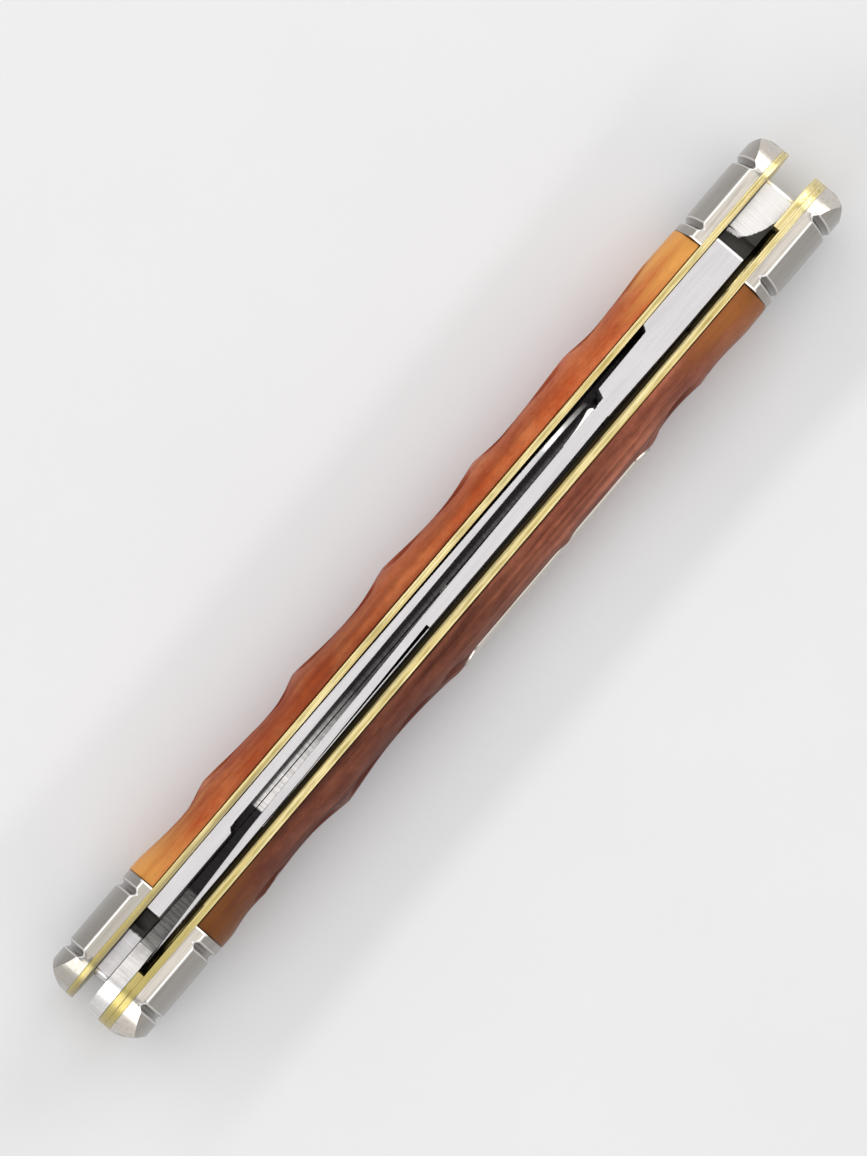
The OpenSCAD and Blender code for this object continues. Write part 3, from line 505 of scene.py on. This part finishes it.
class Cover:
    """The bone cover of one side, in millimetres and drawn on the pile side, shaped as its CAD node is but
    with worn corners and uneven jigging. Its surface is a distance from an axis along the handle."""

    AXIS_Z = 6.8
    FRONT_DIP = 0.5  # how much lower the front is at mid length
    FULL_Y, END_Y = 6.1, 5.7  # the dome's crown at mid length, and at the ends
    FACE_Y = 3.85  # where the dome meets the back
    EDGE_R = 5.8  # the rounded front edge
    EDGE_CENTRE = (0.307, 8.137)
    CORNER_Z, CORNER_DROP = 13.42, 0.09  # the inner front corner's highest place, and how far it is worn down
    WEAR = 0.12  # how far corners are worn round
    STEP, ROWS, INNER_ROWS = 0.17, 96, 4  # the mesh along the handle, round the outside and down the inside
    WRAP_R = 6.0  # an angle times this is a height along the surface from its widest part
    SCOOP_H = 6.2  # the height above and below the widest part at which a scoop fades out
    WHEEL_R, RIM_R = 9.0, 1.3  # the small wheel, and its rim's section
    GOUGE_STEP = 6.6  # from one small cut of a row to the next
    GOUGE_COUNT = 6  # the small cuts of a row on each side of its first
    GOUGE_DEPTH = 0.48
    GOUGE_SLANT = math.radians(9)  # one way and the other by turns
    GOUGE_END = 5.0  # no small cut is centred nearer to a bolster
    SIDE_ANGLE = 0.62  # how far above and below the widest part painted shade darkens the side
    END_W, END_DEPTH = 0.12, 0.06  # the worn edge beside each bolster
    FULL_CUT = 0.7  # a cut of this depth is darkest
    BED = 0.95  # how deep the shield is let in

    def __init__(self, node, seed):
        self.node = node
        low, high = (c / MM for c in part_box(node))
        self.sign = 1 if high.y > 0 else -1
        self.half = high.x
        self.inner = min(abs(low.y), abs(high.y))
        self.random = np.random.default_rng(seed)
        rise = self.FULL_Y - self.FACE_Y
        self.dome_r = (self.AXIS_Z ** 2 + rise ** 2) / (2 * rise)

    def soft_min(self, *values):
        low = np.min(values, axis=0)
        return low - self.WEAR * np.log(sum(np.exp((low - v) / self.WEAR) for v in values))

    def plain(self, x, angle):
        """Distance to the bone before jigging, at x and at an angle up from the widest part."""
        out, up = np.cos(angle), np.sin(angle)
        never = 99.0
        centre = self.FULL_Y - self.dome_r
        dome = centre * out + np.sqrt(self.dome_r ** 2 - (centre * up) ** 2)
        t = (x / self.half) ** 2
        plan = (self.END_Y + (self.FULL_Y - self.END_Y) * (1 - t)) / np.maximum(out, 0.1)
        ey, ez = self.EDGE_CENTRE[0], self.EDGE_CENTRE[1] - self.AXIS_Z
        along = ey * out + ez * up
        edge = along + np.sqrt(self.EDGE_R ** 2 - ey ** 2 - ez ** 2 + along ** 2)
        top = self.top(x) - self.AXIS_Z
        front = np.where(up > 0.3, top / np.maximum(up, 0.3), never)
        return self.soft_min(dome, plan, np.where(up > 0, edge, never), front)

    def top(self, x):
        return 2 * self.AXIS_Z - self.FRONT_DIP * (1 - (x / self.half) ** 2)

    def scoop(self, x, b, centre, left, right, depth):
        """A wide scoop that falls and rises over different lengths, fading out above and below."""
        s = np.where(x < centre, (centre - x) / left, (x - centre) / right)
        along = np.clip(1 - s ** 2, 0, 1) ** 1.7
        across = np.clip(1 - (b / self.SCOOP_H) ** 2, 0, 1)
        return depth * along * across

    def gouge(self, x, b, at_x, at_b, slant, depth):
        """One cut of the small wheel."""
        dx, db = x - at_x, b - at_b
        a = dx * math.cos(slant) + db * math.sin(slant)
        c = db * math.cos(slant) - dx * math.sin(slant)
        return np.clip(depth - a ** 2 / (2 * self.WHEEL_R) - c ** 2 / (2 * self.RIM_R), 0, None)

    def jigging(self, x, b, scoops, gouge_rows, first):
        """The depth cut away: the deepest scoop at each place, and every small cut."""
        cut = np.zeros_like(b)
        for centre, left, right, depth in scoops:
            cut = np.maximum(cut, self.scoop(x, b, centre, left, right, depth))
        for row in gouge_rows:
            for i in range(-self.GOUGE_COUNT, self.GOUGE_COUNT + 1):
                at = first + (i + 0.25 * np.sign(row)) * self.GOUGE_STEP + self.random.uniform(-0.5, 0.5)
                slant = self.GOUGE_SLANT * (1 if i % 2 == 0 else -1) + self.random.uniform(-0.08, 0.08)
                depth = self.GOUGE_DEPTH * self.random.uniform(0.75, 1.1)
                if abs(at) < self.half - self.GOUGE_END:
                    cut = cut + self.gouge(x, b, at, row + self.random.uniform(-0.3, 0.3), slant, depth)
        return cut

    def build(self, scoops, gouge_rows, first, material, bed=None):
        """Makes the cover. bed, if given, changes the cuts round the shield and says how deep it is let in."""
        x = np.linspace(-self.half, self.half, int(2 * self.half / self.STEP) + 1)
        low = math.atan2(-self.AXIS_Z, self.FACE_Y)
        corner = np.minimum(self.top(x), self.CORNER_Z) - self.CORNER_DROP
        high = np.arctan2(corner - self.AXIS_Z, self.inner)
        angle = low + np.linspace(0, 1, self.ROWS)[:, None] * (high - low)[None, :]
        xx = np.broadcast_to(x, angle.shape)
        r = self.plain(xx, angle)
        cut = self.jigging(xx, angle * self.WRAP_R, scoops, gouge_rows, first)
        # Where painted shade darkens the bone's sides.
        side = np.clip(1 - np.abs(angle) / self.SIDE_ANGLE, 0, 1) ** 1.2
        pocket = np.zeros_like(r)
        if bed is not None:
            pocket, cut = bed(self, xx, angle, r, cut)
        r = r - cut - np.clip(1 - (self.half - np.abs(xx)) / self.END_W, 0, 1) * self.END_DEPTH

        y = r * np.cos(angle) - pocket
        z = self.AXIS_Z + r * np.sin(angle)
        y[-1], z[-1] = self.inner, corner
        y, z = np.maximum(y, self.inner), np.maximum(z, 0.0)
        self.x, self.y, self.z = x, y, z
        down = np.linspace(1, 0, self.INNER_ROWS + 1)[1:, None]
        y = np.vstack([y, np.full((self.INNER_ROWS, len(x)), self.inner)])
        z = np.vstack([z, down * corner])
        n, m = y.shape
        co = np.stack([np.broadcast_to(x, y.shape), self.sign * y, z], axis=-1).reshape(-1, 3) * MM

        i = np.arange(n)[:, None]
        j = np.arange(m - 1)[None, :]
        after = (i + 1) % n
        quads = np.stack([i * m + j, i * m + j + 1, after * m + j + 1, after * m + j], -1).reshape(-1, 4)
        caps = [list(range((n - 1) * m, -1, -m)), list(range(m - 1, n * m, m))]
        if self.sign > 0:
            quads = quads[:, ::-1]
        else:
            caps = [c[::-1] for c in caps]
        piece = mesh_object("jigged_" + self.node, co.tolist(), quads.tolist() + caps, material)
        piece.data.shade_smooth()
        seam = np.zeros_like(r)
        seam[-1], seam[:, 0], seam[:, -1] = 1, 1, 1
        for name, value in (("cut", np.clip(cut / self.FULL_CUT, 0, 1)), ("side", side), ("seam", seam)):
            attribute = piece.data.attributes.new(name, "FLOAT", "POINT")
            value = np.vstack([value, np.zeros((self.INNER_ROWS, m))])
            attribute.data.foreach_set("value", value.astype(np.float32).ravel())
        piece.modifiers.new("normals", "WEIGHTED_NORMAL").keep_sharp = True
        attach(piece, "handle")
        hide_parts(self.node)
        return self

    def surface(self, x, z):
        """How far out the bone is at x and z."""
        column = int(round((x - self.x[0]) / (self.x[1] - self.x[0])))
        return float(np.interp(z, self.z[:, column], self.y[:, column]))

    def pin_heads(self, name, places, radius, material, *replaced):
        """Peened pins that end level with the jigged bone, each a slightly domed disc with a short shank."""
        spokes, rings = 28, 5
        proud, dome = 0.05, 0.06
        verts, faces = [], []
        for px, pz in places:
            first = len(verts)
            around = [(math.cos(t), math.sin(t)) for t in (2 * math.pi * k / spokes for k in range(spokes))]
            verts.append((px, self.surface(px, pz) + proud, pz))
            for ring in range(1, rings + 1):
                r = radius * ring / rings
                for c, s in around:
                    x, z = px + r * c, pz + r * s
                    verts.append((x, self.surface(x, z) + proud - dome * (ring / rings) ** 4, z))
            verts += [(px + radius * c, self.inner, pz + radius * s) for c, s in around]
            for k in range(spokes):
                n = (k + 1) % spokes
                faces.append((first, first + 1 + n, first + 1 + k))
                for ring in range(rings):
                    a = first + 1 + ring * spokes
                    faces.append((a + k, a + n, a + spokes + n, a + spokes + k))
            last = first + 1 + rings * spokes
            faces.append(tuple(range(last, last + spokes)))
        co = [(x * MM, self.sign * y * MM, z * MM) for x, y, z in verts]
        if self.sign < 0:
            faces = [f[::-1] for f in faces]
        piece = mesh_object(name, co, faces, material)
        piece.data.shade_smooth()
        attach(piece, "handle")
        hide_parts(*replaced)


def shield_bed(cover, x, angle, r, cut):
    """Gives how deep the bone is let in under the shield, and the cuts, changed round it so that its edge
    stands clear apart from one ridge that laps over it."""
    z = cover.AXIS_Z + r * np.sin(angle)
    rad = (SHIELD_Z[1] - SHIELD_Z[0]) / 2
    mid = (SHIELD_Z[0] + SHIELD_Z[1]) / 2
    dx = np.maximum(np.abs(x - sum(SHIELD_X) / 2) - (SHIELD_X[1] - SHIELD_X[0]) / 2 + rad, 0)
    away = np.hypot(dx, z - mid) - rad
    under = away < 0.05
    around = 0.08 * np.clip(1 - np.clip(away, 0, None) / 3.0, 0, 1)
    ridge = np.exp(-((x - RIDGE_X) / RIDGE_W) ** 2)
    clear = np.clip((away - 0.05) / 2.0, 0, 1)
    over = 0.16 * ridge * np.clip(1 - away / 2.0, 0, 1) * (z > mid)
    cut = np.where(under, 0.0, np.maximum(cut * clear, around * (1 - ridge)) - over)
    return np.where(under, cover.BED, 0.0), cut


# Details of the closed main blade

def spine_z(x):
    if x > HUMP_X:
        return HUMP_Z + (SHOULDER_Z - HUMP_Z) * (x - HUMP_X) / (SHOULDER_X - HUMP_X)
    return HUMP_Z - CLIP_FALL * (HUMP_X - x)


def sliver(name, xs, section, material):
    """A thin three-cornered strip along the main blade. section(x) gives the corners' y and z."""
    verts, faces = [], []
    for x in xs:
        verts += [(x * MM, y * MM, z * MM) for y, z in section(x)]
    for i in range(0, len(verts) - 3, 3):
        for k in range(3):
            n = (k + 1) % 3
            faces.append((i + k + 3, i + n + 3, i + n, i + k))
    last = len(verts) - 3
    faces += [(0, 1, 2), (last + 2, last + 1, last)]
    piece = mesh_object(name, verts, faces, material)
    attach(piece, "main_blade")


def swedge_lip(x):
    """The lower half of the swedge, a ledge along the mark side of the clip, painted pale as a highlight."""
    t = (x - SWEDGE_END) / (HUMP_X - SWEDGE_END)
    w = SWEDGE_W * t
    side = SWEDGE_SIDE[0] + (SWEDGE_SIDE[1] - SWEDGE_SIDE[0]) * t
    top = spine_z(x) - 0.35 * w / SWEDGE_LEAN
    low = spine_z(x) - 0.9 * w / SWEDGE_LEAN
    return (side + 0.65 * w, top), (side + 0.04, top - 0.03), (side + 0.1 * w + 0.03, low)


def heel_relief(x):
    """The ground hollow that makes room for the second blade's tip beside the main blade's heel."""
    start, widest, end = RELIEF_X
    w = RELIEF_W * min((x - start) / (widest - start), 1) ** 2.2
    if x > widest:
        w *= math.sqrt(max(1 - ((x - widest) / (end - widest)) ** 2, 0))
    at, y, slope = HEEL_SIDE
    heel_side = y + slope * (x - at)
    z = spine_z(x) - 0.03
    return (heel_side - 0.05, z), (heel_side - 0.05, z - 0.6), (heel_side + w, z - 0.5 * w)


make_camera()

steel, spring, brass, nickel = satin_steel(), spring_steel(), liner_brass(), nickel_silver()
pile_bone = jigged_bone("pile_bone", (0.54, 0.100, 0.024), (0.67, 0.190, 0.062), (0.20, 0.028, 0.008),
                        (0.88, 0.41, 0.10), 0.35, (0.84, 0.78, 0.62, 0.8, 0.86, 1.0, 0.9))
# The mark cover is darker than the pile cover partly as painted shade, being the less lit side, and partly
# because its bone is redder.
mark_bone = jigged_bone("mark_bone", (0.376, 0.107, 0.060), (0.595, 0.197, 0.106), (0.10, 0.023, 0.014),
                        (0.70, 0.245, 0.060), 0.7, (0.28, 0.43, 0.4, 0.44, 0.9, 1.0, 0.47))

dress(["main_blade", "second_blade"], steel, 0.06 * MM, clamp=False)
dress(["pile_backspring", "mark_backspring"], spring, 0.012 * MM)
dress(["pile_liner", "mark_liner", "spacer_liner"], brass, 0.05 * MM)
dress(["pile_main_bolster", "mark_main_bolster", "pile_second_bolster", "mark_second_bolster"], nickel, 0.1 * MM)
dress(["shield", "shield_pins", "main_pivot_pin", "second_pivot_pin", "centre_spring_pin"], nickel, 0.03 * MM)

# The two slivers are painted pale as highlights.
highlight = highlight_steel()
sliver("swedge_lip", np.linspace(HUMP_X - 0.1, SWEDGE_END + 1, 24), swedge_lip, highlight)
sliver("heel_relief", np.linspace(RELIEF_X[1] + 0.55, RELIEF_X[0] + 0.2, 24), heel_relief, highlight)

# Each scoop of the jigging: its deepest place, the lengths over which it falls and rises, and its depth.
PILE_SCOOPS = [(-32.7, 6.5, 4.3, 0.72), (-19.5, 10.5, 4.2, 0.8), (-8.0, 8.4, 6.0, 0.7), (5.0, 8.2, 6.3, 0.62),
               (14.6, 4.4, 10.0, 0.45), (27.8, 4.4, 7.5, 0.45)]
MARK_SCOOPS = [(-35.0, 3.4, 4.4, 0.45), (-27.0, 9.6, 6.5, 0.8), (-13.5, 8.8, 10.5, 0.7), (26.8, 5.5, 5.5, 0.6),
               (33.0, 4.4, 4.4, 0.35)]
pile_side = Cover("pile_cover", 7).build(PILE_SCOOPS, (-4.1, 2.4), 5.2, pile_bone)
mark_side = Cover("mark_cover", 11).build(MARK_SCOOPS, (-4.0, 2.7), 0.0, mark_bone, shield_bed)
pile_side.pin_heads("pile_pin_heads", COVER_PINS, PIN_R, nickel, "pile_cover_pins")
mark_side.pin_heads("mark_pin_heads", COVER_PINS, PIN_R, nickel, "mark_cover_pins")


# Floor and lights

FLOOR_HALF = 3.0


def make_floor():
    r = FLOOR_HALF
    floor = mesh_object("floor", [(-r, -r, 0), (r, -r, 0), (r, r, 0), (-r, r, 0)], [(0, 1, 2, 3)], floor_paint())


def area_light(name, place, size, power, color=(1, 1, 1)):
    """A rectangular light aimed at the knife."""
    data = bpy.data.lights.new(name, "AREA")
    data.shape = "RECTANGLE"
    data.size, data.size_y = size
    data.energy = power
    data.color = color
    light = bpy.data.objects.new(name, data)
    light.location = place
    light.rotation_euler = (-Vector(place)).to_track_quat("-Z", "Y").to_euler()
    bpy.context.scene.collection.objects.link(light)


def make_lights():
    """A wide soft box overhead, one beyond each end of the knife and a narrow one along each side, which
    draws the bright rims of the metal."""
    world = bpy.data.worlds.new("studio")
    world.use_nodes = True
    background = world.node_tree.nodes["Background"]
    background.inputs["Color"].default_value = (0.95, 0.97, 1.0, 1.0)
    background.inputs["Strength"].default_value = 0.4
    bpy.context.scene.world = world
    area_light("overhead", (0.05, 0.1, 1.0), (1.1, 1.1), 2.9, (1.0, 0.98, 0.96))
    area_light("main_end", (0.68, 0, 0.32), (0.6, 0.68), 2.5)
    area_light("second_end", (-0.68, 0, 0.32), (0.6, 0.68), 2.5)
    area_light("pile_strip", (0.0, 0.6, 0.6), (1.2, 0.1), 1.7, (1.0, 0.97, 0.93))
    area_light("mark_strip", (0.0, -0.6, 0.6), (1.2, 0.1), 1.1, (1.0, 0.97, 0.93))


make_floor()
make_lights()
bpy.context.scene.view_settings.view_transform = "Standard"
